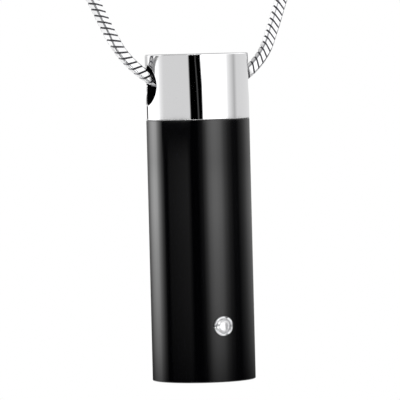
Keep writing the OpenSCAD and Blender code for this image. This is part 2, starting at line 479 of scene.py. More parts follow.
def seam_shade_steel(look):
    # The deep sides of the links and the insides of the end caps' sockets: steel painted grey as the shade that
    # falls in these hollows, and dull
    return surface("oxidised steel in the seams", look.seams, (0.5, 0.4, 0.6))


def corner_reflection_steel(look):
    # The links' bent corners: a grey strip painted beside the bright flats as the dark reflection that runs
    # along them, a little rough
    return surface("worn stainless steel", look.corners, (0.5, 0.25, 0.4))


def fitting_steel(look):
    # Turned and drawn stainless steel, polished by hand: bright with faint drawn lines
    return surface("hand polished stainless steel", look.steel, (1.5, 0.07, 0.16), (0.08, 0.3, 0))


def black_coat(look):
    # Titanium carbonitride put on in a vacuum over polished steel: near black with a hard, glassy gloss
    return surface("black vapour deposited coat", look.coat, (3, 0.01, 0.025), (0.2, 0.03, 2), {"IOR": 1.8})


def turned_steel(look):
    # Bare steel of the chamber and the threads as the lathe left it: grey, with tool rings
    return surface("lathe turned stainless steel", look.lathed, (1.5, 0.25, 0.38), (0.15, 0.6, 2))


def burnished_steel(look):
    # The setting's rim, pressed over the stone with a burnisher: bright, softer and greyer than the cap
    return surface("burnished stainless steel", look.rim, (0.4, 0.1, 0.2))


def seat_steel(look):
    # The conical seat under the stone, left satin by the cutter: throws light back up through the stone
    return surface("satin cut stainless steel", look.seat, (0.3, 0.4, 0.55))


def clear_crystal(look):
    # Cubic zirconia, cut and polished: water clear with sharp bright facets, a little milky from wear
    traits = {"Transmission Weight": 0.66, "IOR": 2.16}
    return surface("cut cubic zirconia", look.stone, (0.6, 0.0, 0.02), traits=traits)


def hole_rim(urn, way):
    """The rounded rim of the cap's hole on its right (1) or left (-1) side, and the wall's points round it."""
    ball = urn.hole_edge
    rows, places = [[] for _ in range(RIM_ROWS + 1)], []
    for t in rim_angles():
        y, z = (urn.hole + ball) * math.cos(t), (urn.hole + ball) * math.sin(t)
        x = math.sqrt((urn.radius - ball) ** 2 - y * y)
        outward = Vector((x, y, 0)).normalized()
        inward = -Vector((0, math.cos(t), math.sin(t)))
        turn = math.atan2(y, x)
        places.append((turn if way > 0 else math.pi - turn, urn.hole_height + z))
        for k, row in enumerate(rows):
            facing = outward.slerp(inward, k / RIM_ROWS)
            point = Vector((x, y, z)) + facing * ball
            row.append((
                URN_AXIS + Vector((way * point.x, point.y, urn.hole_height + point.z)),
                Vector((way * facing.x, facing.y, facing.z)),
            ))
    return rows, places


class PENDANT_OT_cap(Operator):
    """Makes the steel screw cap with its cross hole and threaded stud"""

    bl_idname = "pendant.cap"
    bl_label = "Screw cap"

    def execute(self, context):
        urn, look = Sizes(context, "urn"), context.scene.pendant.finishes
        mirror, shaded_bore, lathed = range(3)
        skin, turns = Skin(), wall_turns(0)
        top, low, tip = CAP_HIGH.z, urn.seam, CAP_LOW.z
        radius, edge, seam_edge, bevel = urn.radius, urn.edge, urn.seam_edge, urn.stud_edge
        mouths = []
        for way in (1, -1):
            rows, rim = hole_rim(urn, way)
            skin.grid(rows, mirror, closed=True)
            border = wall_edge(0, low + seam_edge, top - edge)
            if way < 0:
                border = [(math.pi - a, z) for a, z in border]
            holed_wall(skin, radius, rim, border)
            mouths.append(rows[-1])
        steps = [k / BORE_ROWS for k in range(BORE_ROWS + 1)]
        bore = [[(a.lerp(b, f), m.lerp(n, f)) for (a, m), (b, n) in zip(mouths[1], mouths[0])] for f in steps]
        skin.grid(bore, shaded_bore, closed=True)

        def lathe(profile, finish=mirror):
            turned(skin, profile, URN_AXES, turns, finish)

        lathe(arc(radius - edge, top - edge, edge, 0, 90, 6))
        lathe(line(radius - edge, top, 0, top, 4))
        lathe(arc(radius - seam_edge, low + seam_edge, seam_edge, -90, 0, 6))
        root = urn.stud - urn.thread_depth
        lathe(line(root, low, radius - seam_edge, low, 3))
        thread(skin, tip + bevel, low, root, urn.stud, urn.thread_pitch, turns, lathed)
        lathe(line(root - bevel, tip, root, tip + bevel), lathed)
        lathe(line(0, tip, root - bevel, tip, 3), lathed)
        data = skin.mesh("screw_cap", [mirror_steel(look), bore_shade_steel(look), turned_steel(look)])
        show("screw_cap", data, "cap", "cap_steel", "urn_cap")
        return {"FINISHED"}


def stone_axes(stone, radius):
    """The origin and directions of the setting: on the tube's surface, with its axis square to it."""
    a = stone.turn
    out = Vector((math.sin(a), -math.cos(a), 0))
    side = Vector((math.cos(a), math.sin(a), 0))
    return URN_AXIS + out * radius + Vector((0, 0, stone.height)), side, Z_WAY, out


class PENDANT_OT_tube(Operator):
    """Makes the black tube with its chamber, its thread and the recess for the setting"""

    bl_idname = "pendant.tube"
    bl_label = "Black tube"

    def execute(self, context):
        urn, stone, look = Sizes(context, "urn"), Sizes(context, "stone"), context.scene.pendant.finishes
        coat, lathed = range(2)
        top, base, radius, hole = TUBE_HIGH.z, TUBE_LOW.z, urn.radius, stone.recess
        edge, base_edge, bevel, fillet = urn.tube_edge, urn.base_edge, urn.chamber_edge, urn.floor_edge
        low, high = base + base_edge, top - edge
        middle = stone.turn - math.pi / 2
        skin, turns, angles = Skin(), wall_turns(middle), rim_angles()
        rim = [
            (middle + math.asin(hole * math.cos(t) / radius), stone.height + hole * math.sin(t)) for t in angles
        ]
        holed_wall(skin, radius, rim, wall_edge(middle, low, high))
        back = [middle + math.pi / 2 + math.pi * k / WALL_STEPS for k in range(WALL_STEPS + 1)]
        heights = [low + (high - low) * n / SIDE_STEPS for n in range(SIDE_STEPS + 1)]
        skin.grid([[on_wall(radius, a, z) for a in back] for z in heights])

        origin, side, up, out = stone_axes(stone, radius)
        centre = origin - out * stone.recess_depth
        spokes = [side * math.cos(t) + up * math.sin(t) for t in angles]
        mouth = [(on_wall(radius, *place)[0], -spoke) for place, spoke in zip(rim, spokes)]
        bottom = [centre + spoke * hole for spoke in spokes]
        skin.grid([mouth, [(point, -spoke) for point, spoke in zip(bottom, spokes)]], lathed, closed=True)
        skin.grid([[(point, out) for point in bottom], [(centre, out)] * len(bottom)], lathed, closed=True)

        def lathe(profile, finish=lathed):
            turned(skin, profile, URN_AXES, turns, finish)

        bore, end, floor = urn.chamber, top - urn.groove_length, base + urn.floor
        lathe(arc(radius - edge, high, edge, 0, 90, 6), coat)
        lathe(line(radius - edge, top, bore + bevel, top, 2))
        lathe(line(bore + bevel, top, bore, top - bevel))
        crest = bore + urn.groove_depth
        thread(skin, end, top - bevel, bore, crest, urn.thread_pitch, turns, lathed, inside=True)
        lathe(line(bore, end, bore, floor + fillet, 6))
        lathe([(r, z, -o, -u) for r, z, o, u in arc(bore - fillet, floor + fillet, fillet, 0, -90, 5)])
        lathe(line(bore - fillet, floor, 0, floor, 3))
        lathe(arc(radius - base_edge, low, base_edge, -90, 0, 8), coat)
        lathe(line(0, base, radius - base_edge, base, 4), coat)
        data = skin.mesh("black_tube", [black_coat(look), turned_steel(look)])
        show("black_tube", data, "tube", "black_steel", "urn_tube")
        return {"FINISHED"}


class PENDANT_OT_stone(Operator):
    """Makes the round setting with its rolled rim, and finishes the cut stone"""

    bl_idname = "pendant.stone"
    bl_label = "Stone and setting"

    def execute(self, context):
        urn, stone, look = Sizes(context, "urn"), Sizes(context, "stone"), context.scene.pendant.finishes
        bright, satin = range(2)
        skin, axes, turns = Skin(), stone_axes(stone, urn.radius), full_turn(96)
        outer, seat, high, roll, lip = stone.setting, stone.seat, stone.proud, stone.roll, stone.lip
        gap, step, ledge, tip_radius = 0.02, 0.04, 0.05, 0.1
        low, tip, inmost = gap - stone.recess_depth, high - stone.seat_depth, seat - lip

        def notched(a, radius, height):
            """Cuts into the rim's outside above and below the stone, and nowhere under the tube's surface."""
            notches = (stone.notch_turn, -stone.notch_turn)
            off = min(abs((a - at + math.pi) % (2 * math.pi) - math.pi) for at in notches)
            deep = max(0, 1 - (off / stone.notch_half) ** 2)
            share = min(1, max(0, (radius - inmost) / (outer - inmost)))
            return -stone.notch * deep * share if height > step / 2 else 0

        profile = line(outer, low, outer, 0, 2) + line(outer, step, outer, high - roll)
        profile += arc(outer - roll, high - roll, roll, 0, 90, 8) + line(outer - roll, high, seat, high)
        profile += arc(seat, high - lip, lip, 90, 190, 8) + line(seat - ledge, 2 * step, seat, ledge)
        profile += line(seat, ledge, seat, -ledge)
        turned(skin, profile, axes, turns, bright, notched)
        turned(skin, line(seat, -ledge, tip_radius, tip, 4), axes, turns, satin)
        turned(skin, line(tip_radius, tip, 0, tip), axes, turns, satin)
        turned(skin, line(0, low, outer, low, 2), axes, turns, bright)
        data = skin.mesh("rolled_setting", [burnished_steel(look), seat_steel(look)])
        show("rolled_setting", data, "tube", "fittings_steel", "stone_setting")
        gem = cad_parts["stone"]
        gem.data.materials.clear()
        gem.data.materials.append(clear_crystal(look))
        return {"FINISHED"}


def smooth_route():
    """The chain's centre line as closely spaced points, on the same smooth curve as the solid."""
    right = [Vector(p) for p in HALF_ROUTE]
    route = [Vector((-p.x, p.y, p.z)) for p in reversed(right[1:])] + right
    spans = [(b - a).length for a, b in zip(route, route[1:])]
    slopes = []
    for i in range(len(route)):
        if i == 0 or i == len(route) - 1:
            k = min(i, len(spans) - 1)
            slopes.append((route[k + 1] - route[k]) / spans[k])
        else:
            a, b = spans[i - 1], spans[i]
            slopes.append(((route[i] - route[i - 1]) / a * b + (route[i + 1] - route[i]) / b * a) / (a + b))
    points = []
    for i, span in enumerate(spans):
        steps = max(2, round(span / ROUTE_STEP))
        for k in range(steps):
            s = k / steps
            points.append(
                route[i] * (2 * s**3 - 3 * s**2 + 1) + slopes[i] * span * (s**3 - 2 * s**2 + s)
                + route[i + 1] * (3 * s**2 - 2 * s**3) + slopes[i + 1] * span * (s**3 - s**2)
            )
    return points + [route[-1]]


def between(table, at):
    """The value at a place in a table of (place, value), eased between its rows."""
    for (a, low), (b, high) in zip(table, table[1:]):
        if at <= b:
            f = min(1, max(0, (at - a) / (b - a)))
            return low + (high - low) * f * f * (3 - 2 * f)
    return table[-1][1]


def route_object():
    """The chain's route as a string of edges, which carries the direction of the chain's first flat."""
    points = smooth_route()
    along = [0]
    for a, b in zip(points, points[1:]):
        along.append(along[-1] + (b - a).length)
    data = bpy.data.meshes.new("route")
    data.from_pydata([p * MM for p in points], [(k, k + 1) for k in range(len(points) - 1)], [])
    flats = data.attributes.new("flat", "FLOAT_VECTOR", "POINT")
    last = len(points) - 1
    for k in range(len(points)):
        way = (points[min(k + 1, last)] - points[max(k - 1, 0)]).normalized()
        up = (LOOP_NORMAL - way * way.dot(LOOP_NORMAL)).normalized()
        side = way.cross(LOOP_NORMAL).normalized()
        turn = math.radians(between(CHAIN_TURNS, along[k] - along[-1] / 2))
        flats.data[k].vector = up * math.cos(turn) + side * math.sin(turn)
    made = bpy.data.objects.new("route", data)
    bpy.context.scene.collection.objects.link(made)
    return made, along[-1]


def link_mesh(chain):
    """One link: a band once round the chain whose seams climb as it goes, crowned between them."""
    corner, pitch = chain.corner, chain.pitch
    flat = chain.width / 2 - corner
    outline = []
    for q in range(4):
        facing = math.radians(90 * q)
        for turn, shift in ((-60, -flat), (-30, -flat), (0, -flat), (0, flat)):
            spoke = facing + math.radians(turn)
            centre = Vector((flat, shift))
            centre.rotate(Matrix.Rotation(facing, 2))
            outline.append((centre, Vector((math.cos(spoke), math.sin(spoke)))))
    sections = [centre + out * corner for centre, out in outline]
    walked = [0]
    for k in range(len(sections)):
        step = (sections[(k + 1) % len(sections)] - sections[k]).length
        walked.append(walked[-1] + step)
    points, faces, kinds, facings = [], [], [], []
    for k in range(len(sections) + 1):
        centre, out = outline[k % len(outline)]
        fall = chain.starts * pitch * walked[k] / walked[-1]
        for height, depth in LINK_SIDE:
            at = centre + out * (corner - depth * chain.seam_depth)
            points.append(Vector((at.x, at.y, height * pitch - fall)) * MM)
    rows = len(LINK_SIDE)
    for k in range(len(sections)):
        for n, (low, high) in enumerate(zip(LINK_SIDE, LINK_SIDE[1:])):
            a = k * rows + n
            faces.append((a, a + rows, a + rows + 1, a + 1))
            # Seam faces take the steel painted with shade, and one strip at each corner the steel painted with a
            # dark reflection
            kinds.append(SEAM if n in (0, rows - 2) else CORNER if k % 4 == 0 else FLAT)
            tilt = math.atan2((high[1] - low[1]) * chain.seam_depth, (high[0] - low[0]) * pitch)
            ends = [outline[m % len(outline)][1] * math.cos(tilt) for m in (k, k + 1, k + 1, k)]
            facings += [c for end in ends for c in (end.x, end.y, math.sin(tilt))]
    data = bpy.data.meshes.new("link")
    data.from_pydata(points, [], faces)
    data.attributes.new("kind", "INT", "FACE").data.foreach_set("value", kinds)
    data.attributes.new("facing", "FLOAT_VECTOR", "CORNER").data.foreach_set("vector", facings)
    return data


def chain_tree():
    """Lays links in a straight row, joins them, and bends the row along the route."""
    tree = bpy.data.node_groups.new("snake chain", "GeometryNodeTree")
    kinds = (
        ("Link", "Geometry"), ("Route", "Object"), ("Count", "Int"), ("Pitch", "Float"), ("Start", "Float"),
        ("Flats", "Material"), ("Seams", "Material"), ("Corners", "Material"),
    )
    for name, kind in kinds:
        tree.interface.new_socket(name, in_out="INPUT", socket_type="NodeSocket" + kind)
    tree.interface.new_socket("Chain", in_out="OUTPUT", socket_type="NodeSocketGeometry")
    given = add_node(tree, "NodeGroupInput").outputs
    start = add_node(tree, "ShaderNodeCombineXYZ", {"Z": given["Start"]}).outputs[0]
    step = add_node(tree, "ShaderNodeCombineXYZ", {"Z": given["Pitch"]}).outputs[0]
    row = add_node(
        tree, "GeometryNodeMeshLine", {"Count": given["Count"], "Start Location": start, "Offset": step}
    )
    links = add_node(
        tree, "GeometryNodeInstanceOnPoints", {"Points": row.outputs[0], "Instance": given["Link"]}
    )
    real = add_node(tree, "GeometryNodeRealizeInstances", {"Geometry": links.outputs[0]})
    joined = add_node(tree, "GeometryNodeMergeByDistance", {"Geometry": real.outputs[0], "Distance": 0.01 * MM})
    route = add_node(tree, "GeometryNodeObjectInfo", {"Object": given["Route"]}, transform_space="ORIGINAL")
    curve = add_node(tree, "GeometryNodeMeshToCurve", {"Mesh": route.outputs["Geometry"]})
    flat = add_node(tree, "GeometryNodeInputNamedAttribute", {"Name": "flat"}, data_type="FLOAT_VECTOR")
    place = add_node(tree, "ShaderNodeSeparateXYZ", {0: add_node(tree, "GeometryNodeInputPosition").outputs[0]})
    sample = add_node(
        tree, "GeometryNodeSampleCurve",
        {"Curves": curve.outputs[0], "Value": flat.outputs[0], "Length": place.outputs["Z"]},
        mode="LENGTH", data_type="FLOAT_VECTOR",
    )
    tangent, flat_way = sample.outputs["Tangent"], sample.outputs["Value"]
    first = add_node(tree, "ShaderNodeVectorMath", {0: flat_way}, operation="NORMALIZE").outputs[0]
    second = add_node(tree, "ShaderNodeVectorMath", {0: tangent, 1: first}, operation="CROSS_PRODUCT").outputs[0]

    def along(whole, parts):
        """A vector plus given amounts of the directions at that place of the route."""
        for direction, amount in parts:
            part = add_node(tree, "ShaderNodeVectorMath", {0: direction, "Scale": amount}, operation="SCALE")
            pair = {0: whole, 1: part.outputs[0]}
            whole = add_node(tree, "ShaderNodeVectorMath", pair, operation="ADD").outputs[0]
        return whole

    moved = along(sample.outputs["Position"], ((first, place.outputs["X"]), (second, place.outputs["Y"])))
    facing = add_node(tree, "GeometryNodeInputNamedAttribute", {"Name": "facing"}, data_type="FLOAT_VECTOR")
    parts = add_node(tree, "ShaderNodeSeparateXYZ", {0: facing.outputs[0]}).outputs
    bent_facing = along((0, 0, 0), ((first, parts[0]), (second, parts[1]), (tangent, parts[2])))
    stored = add_node(
        tree, "GeometryNodeStoreNamedAttribute",
        {"Geometry": joined.outputs[0], "Name": "facing", "Value": bent_facing},
        data_type="FLOAT_VECTOR", domain="CORNER",
    )
    bent = add_node(tree, "GeometryNodeSetPosition", {"Geometry": stored.outputs[0], "Position": moved})
    soft = add_node(tree, "GeometryNodeSetShadeSmooth", {0: bent.outputs[0]})
    whole = add_node(tree, "GeometryNodeSetMaterial", {"Geometry": soft.outputs[0], "Material": given["Flats"]})
    kind = add_node(tree, "GeometryNodeInputNamedAttribute", {"Name": "kind"}, data_type="INT").outputs[0]
    for number, name in ((SEAM, "Seams"), (CORNER, "Corners")):
        chosen = add_node(tree, "FunctionNodeCompare", {2: kind, 3: number}, data_type="INT", operation="EQUAL")
        whole = add_node(
            tree, "GeometryNodeSetMaterial",
            {"Geometry": whole.outputs[0], "Selection": chosen.outputs[0], "Material": given[name]},
        )
    add_node(tree, "NodeGroupOutput", {0: whole.outputs[0]})
    return tree


def grown(piece, tree, values):
    """The plain mesh that a geometry tree grows from a piece, which is then removed."""
    modifier = piece.modifiers.new("grown", "NODES")
    modifier.node_group = tree
    for item in tree.interface.items_tree:
        if item.item_type == "SOCKET" and item.in_out == "INPUT" and item.name in values:
            modifier[item.identifier] = values[item.name]
    depsgraph = bpy.context.evaluated_depsgraph_get()
    data = bpy.data.meshes.new_from_object(piece.evaluated_get(depsgraph), depsgraph=depsgraph)
    bpy.data.objects.remove(piece)
    return data


def close_ends(data):
    """Closes the open ends of a mesh and points its faces outwards."""
    work = bmesh.new()
    work.from_mesh(data)
    bmesh.ops.remove_doubles(work, verts=work.verts, dist=0.002 * MM)
    bmesh.ops.holes_fill(work, edges=[e for e in work.edges if e.is_boundary])
    bmesh.ops.triangulate(work, faces=[f for f in work.faces if len(f.verts) > 4])
    bmesh.ops.recalc_face_normals(work, faces=work.faces)
    work.to_mesh(data)
    work.free()


def face_by_attribute(data):
    """Gives a mesh the normals in its attribute "facing", and its own where that is empty."""
    facings = [Vector(item.vector) for item in data.attributes["facing"].data]
    normals = []
    for face in data.polygons:
        for k in face.loop_indices:
            aim = facings[k] if facings[k].length > 0.5 else face.normal
            normals.append(aim.normalized())
    data.attributes.remove(data.attributes["facing"])
    data.normals_split_custom_set(normals)


class PENDANT_OT_chain(Operator):
    """Makes the square snake chain, link by link along its route"""

    bl_idname = "pendant.chain"
    bl_label = "Snake chain"

    def execute(self, context):
        chain, look = Sizes(context, "chain"), context.scene.pendant.finishes
        route, reach = route_object()
        piece = bpy.data.objects.new("link", link_mesh(chain))
        context.scene.collection.objects.link(piece)
        spare = chain.starts * chain.pitch
        count = int((reach - spare) / chain.pitch) - 1
        start = spare + (reach - spare - (count - 1) * chain.pitch) / 2 + chain.shift
        data = grown(piece, chain_tree(), {
            "Route": route, "Count": count, "Pitch": chain.pitch * MM, "Start": start * MM,
            "Flats": chain_steel(look), "Seams": seam_shade_steel(look), "Corners": corner_reflection_steel(look),
        })
        bpy.data.objects.remove(route)
        close_ends(data)
        face_by_attribute(data)
        data.name = "snake_links"
        show("snake_links", data, "necklace", "chain_steel", "snake_chain")
        return {"FINISHED"}


def end_cap(part, side, way, steels):
    """An end cap on the left (-1) or right (1): a round cup with two grooves and a soldered loop."""
    low, high = (corner.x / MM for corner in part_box("end_cap_" + side))
    mouth, tip = (high, low) if way > 0 else (low, high)
    centre = Vector((tip + way * (part.loop + part.loop_wire), 0, 0))
    skin, turns = Skin(), full_turn(64)
    wire(skin, circle(centre, part.loop, X_WAY, Z_WAY, 72), [part.loop_wire] * 72)
    axes = (Vector((mouth, 0, 0)), Y_WAY * way, Z_WAY, X_WAY * way)
    radius, socket, back = part.cap_radius, part.socket, -part.cap_length
    outside, inside = range(2)
    shoulder, groove, edge, bevel, wall = 0.3, 0.09, 0.12, 0.05, 0.6
    profile = line(0, back, radius - shoulder, back, 2)
    profile += arc(radius - shoulder, back + shoulder, shoulder, -90, 0, 6)
    for at in (-0.95, -0.65):
        profile += line(radius, profile[-1][1], radius, at - groove)
        profile += [(radius - groove, at, 1, 0), (radius, at + groove, 1, 0)]
    profile += line(radius, -0.5, radius, -edge) + arc(radius - edge, -edge, edge, 0, 90, 4)
    profile += line(radius - edge, 0, socket + bevel, 0) + line(socket + bevel, 0, socket, -bevel)
    turned(skin, profile, axes, turns, outside)
    # The socket's inside takes the steel painted grey for the shade in it
    turned(skin, line(socket, -bevel, socket, back + wall), axes, turns, inside)
    turned(skin, line(socket, back + wall, 0, back + wall), axes, turns, inside)
    name = "end_cap_turned_" + side
    show(name, skin.mesh(name, steels), "necklace", "fittings_steel", "end_cap_" + side)


def jump_ring(part, side, joint, steel):
    """A jump ring, with a fine butt joint at one of its 120 steps."""
    low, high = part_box("jump_ring_" + side)
    path = circle((low + high) / 2 / MM, part.ring, X_WAY, Y_WAY, 120)
    joint_depth = 0.06
    skin = Skin()
    wire(skin, path, [part.ring_wire - (joint_depth if k == joint else 0) for k in range(len(path))])
    name = "round_ring_" + side
    show(name, skin.mesh(name, [steel]), "necklace", "fittings_steel", "jump_ring_" + side)


class PENDANT_OT_fittings(Operator):
    """Makes the chain's two end caps and the two jump rings"""

    bl_idname = "pendant.fittings"
    bl_label = "End caps and jump rings"

    def execute(self, context):
        part, look = Sizes(context, "fittings"), context.scene.pendant.finishes
        for side, way, joint in (("left", -1, 90), ("right", 1, 30)):
            end_cap(part, side, way, [fitting_steel(look), seam_shade_steel(look)])
            jump_ring(part, side, joint, fitting_steel(look))
        return {"FINISHED"}


class PENDANT_OT_clasp(Operator):
    """Makes the plain lobster clasp in one piece: claw, lever line, shoulder and tail"""

    bl_idname = "pendant.clasp"
    bl_label = "Clasp"

    def execute(self, context):
        part, look = Sizes(context, "fittings"), context.scene.pendant.finishes
        low, high = (corner.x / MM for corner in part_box("clasp"))
        half, claw, thick = part.claw_straight / 2, part.claw, part.claw_wire
        middle = Vector((high - thick - claw - half, 0, 0))
        lever_thin, line_at, line_width, line_depth = 0.08, 0.6, 0.05, 0.09
        path, radii = [], []
        for a in full_turn(160):
            shift = half * max(-1, min(1, 4 * math.cos(a)))
            out = Vector((shift + claw * math.cos(a), 0, claw * math.sin(a)))
            path.append(middle + out)
            cut = line_depth * math.exp(-(((out.x - line_at) / line_width) ** 2)) + lever_thin
            radii.append(thick - (cut if out.z > 0 else 0))
        skin = Skin()
        wire(skin, path, radii, sides=24)
        tail = low + part.tail + part.tail_wire
        wire(skin, circle(Vector((tail, 0, 0)), part.tail, X_WAY, Z_WAY, 72), [part.tail_wire] * 72)
        start, end = tail + part.tail - 0.1, middle.x - half - claw + 0.3
        core, foot, head, groove = 0.7, 0.25, 0.4, 0.11
        barrel = core + foot
        profile = line(0, start, core, start, 2) + arc(core, start + foot, foot, -90, -20, 4)
        profile += line(barrel, start + 0.2, barrel, start + 0.75) + [(barrel - groove, start + 0.9, 1, 0)]
        profile += arc(core, end - head, head, 0, 90, 6) + line(core, end, 0, end, 2)
        turned(skin, profile, (Vector(), Y_WAY, Z_WAY, X_WAY), full_turn(64))
        data = skin.mesh("lobster_clasp", [fitting_steel(look)])
        show("lobster_clasp", data, "necklace", "fittings_steel", "clasp")
        return {"FINISHED"}


# Brightness of the tent round the urn, by the angle from the camera in degrees, positive to its right.
# The upper panels are what the cap mirrors, and the lower ones what the tube does.
UPPER_PANELS = (
    (-180, 0.9), (-168, 0.9), (-160, 1.5), (-97, 1.4), (-94.5, 1.12), (-91, 0.98), (-87, 0.87), (-80, 0.74),
    (-72, 0.73), (-12, 0.73), (0, 1.7), (62, 1.7), (72, 0.95), (90, 0.48), (99, 0.74), (160, 0.8), (180, 0.75),
)
LOWER_PANELS = (
    (-180, 0.2), (-160, 0.2), (-146, 0.52), (-132, 1.4), (-120, 2.2), (-110, 2.35), (-102, 1.35), (-92, 0.42),
    (-84, 0.03), (-77, 0.0), (-70, 0.06), (-26, 0.12), (-17, 0.0), (-3, 0.0), (0, 0.02), (7, 0.07), (14, 0.33),
    (22, 0.9), (30, 1.22), (38, 1.25), (48, 1.02), (58, 0.45), (68, 0.16), (80, 0.03), (94, 0.02), (110, 0.16),
    (132, 0.4), (150, 0.4), (180, 0.2),
)
# How the lower panels fade with their height, and the heights where the upper ones mix into them far down
LOWER_FADE = (
    (-154, 1.1), (-161, 1.0), (-165, 1.1), (-170, 1.08), (-178, 0.86), (-187, 0.68), (-196, 0.42), (-203, 0.15),
    (-222, 0.6),
)
DEEP_FROM, DEEP_TO, DEEP_SHARE = -210, -235, 0.6
# Height where the lower panels meet the upper ones, and half of the soft edge between them
SEAM_LINE, SEAM_SOFT = -153.4, 0.05
# Patches that differ: from, to and soft edge in degrees, the same in height, and brightness.
# Those of the upper panels are mirrored by the cap's left edge: a grey one beside the hole and a dark one below.
UPPER_PATCHES = ((-181, -138, 3, -144.8, -140.5, 0.3, 0.66), (-160, -143, 3, -153.5, -149.6, 0.3, 0.1))
# On the lower panels: a dark patch for the top of the tube's left side, a pale low panel that the left strand's
# left face mirrors, and two small lamps for the stone's left half, one for its table and one for facets below.
LOWER_PATCHES = (
    (-90, -17, 3, -161, -148, 5, 0.02), (-106, -68, 5, -251, -206, 4, 1.0),
    (43.5, 45.37, 0.03, -193.2, -190, 0.3, 5), (-32, -8, 3, -232, -205, 3, 9),
)
# The tent's high part is bright. It has dimmer panels at the back, a gap over the camera, a dim panel over the
# left for the cap's top edge and the chain's image in the cap, and a lamp for the stone's upper left facets.
HIGH_LEVEL = 1.3
HIGH_FROM, HIGH_TO = -132, -122
HIGH_PATCHES = (
    (-181, -140, 3, -124, 90, 6, 0.6), (150, 181, 3, -124, 90, 6, 0.6), (-17, 13, 3, -100, 50, 6, 0.02),
    (-88, -19, 4, -112, 70, 6, 0.36), (-14, 0, 2, 42, 70, 4, 7),
)
# Slanted bands on the upper panels: rows of height, left and right edge, then soft edge and brightness.
# They are the gap that the camera looks through, a pale line in it, and the chain's shadowed side.
BANDS = (
    (((-152.2, -17.6, 13), (-147, -18.5, 12.5), (-142.2, -19.4, 9.9)), 3, 0.0),
    (((-152.2, -0.2, 4), (-147, -2, 2), (-142.2, -4.6, -1.2)), 1.3, 0.06),
    (
        (
            (-146.6, -107, -107), (-144.8, -118, -106), (-143.6, -135, -105), (-142.5, -121, -99),
            (-141.8, -107, -93), (-141.4, -104, -90),
        ), 2, 0.25,
    ),
)
# Heights of the tent's rows above its lowest, which is just over the floor
TENT_ROWS = (SEAM_LINE, -80, 0, 60)
ROUND_STEPS = 128
# The middle of the dim part of the surroundings, behind and above the urn, and its fade by the angle's cosine
DARK_SKY = (0, 0.35, 0.937)
SKY_FADE = {"From Min": 0.62, "From Max": 0.78, "To Min": 1.15, "To Max": 0.38}
# The paper is lit from below too, so the chain's underside mirrors it as white
PAPER_GLOW = 0.22


def ramp(tree, value, stops):
    """The level at a value, with straight runs between stops of (value, level)."""
    places = [place for place, _ in stops]
    low, high, top = min(places), max(places), max(level for _, level in stops)
    share = add_node(tree, "ShaderNodeMapRange", {"Value": value, "From Min": low, "From Max": high})
    made = add_node(tree, "ShaderNodeValToRGB", {"Fac": share.outputs[0]})
    band = made.color_ramp
    while len(band.elements) < len(stops):
        band.elements.new(0.5)
    for element, (place, level) in zip(band.elements, sorted(stops)):
        element.position = (place - low) / (high - low)
        element.color = (level / top, level / top, level / top, 1)
    return add_node(tree, "ShaderNodeMath", {0: made.outputs[0], 1: top}, operation="MULTIPLY").outputs[0]


def within(tree, value, start, end, soft):
    """1 where a value lies between two others, fading to 0 at them over a soft edge inside."""
    edges = []
    for more, less in ((value, start), (end, value)):
        past = add_node(tree, "ShaderNodeMath", {0: more, 1: less}, operation="SUBTRACT")
        share = add_node(tree, "ShaderNodeMapRange", {"Value": past.outputs[0], "From Max": soft})
        edges.append(share.outputs[0])
    return add_node(tree, "ShaderNodeMath", {0: edges[0], 1: edges[1]}, operation="MULTIPLY").outputs[0]


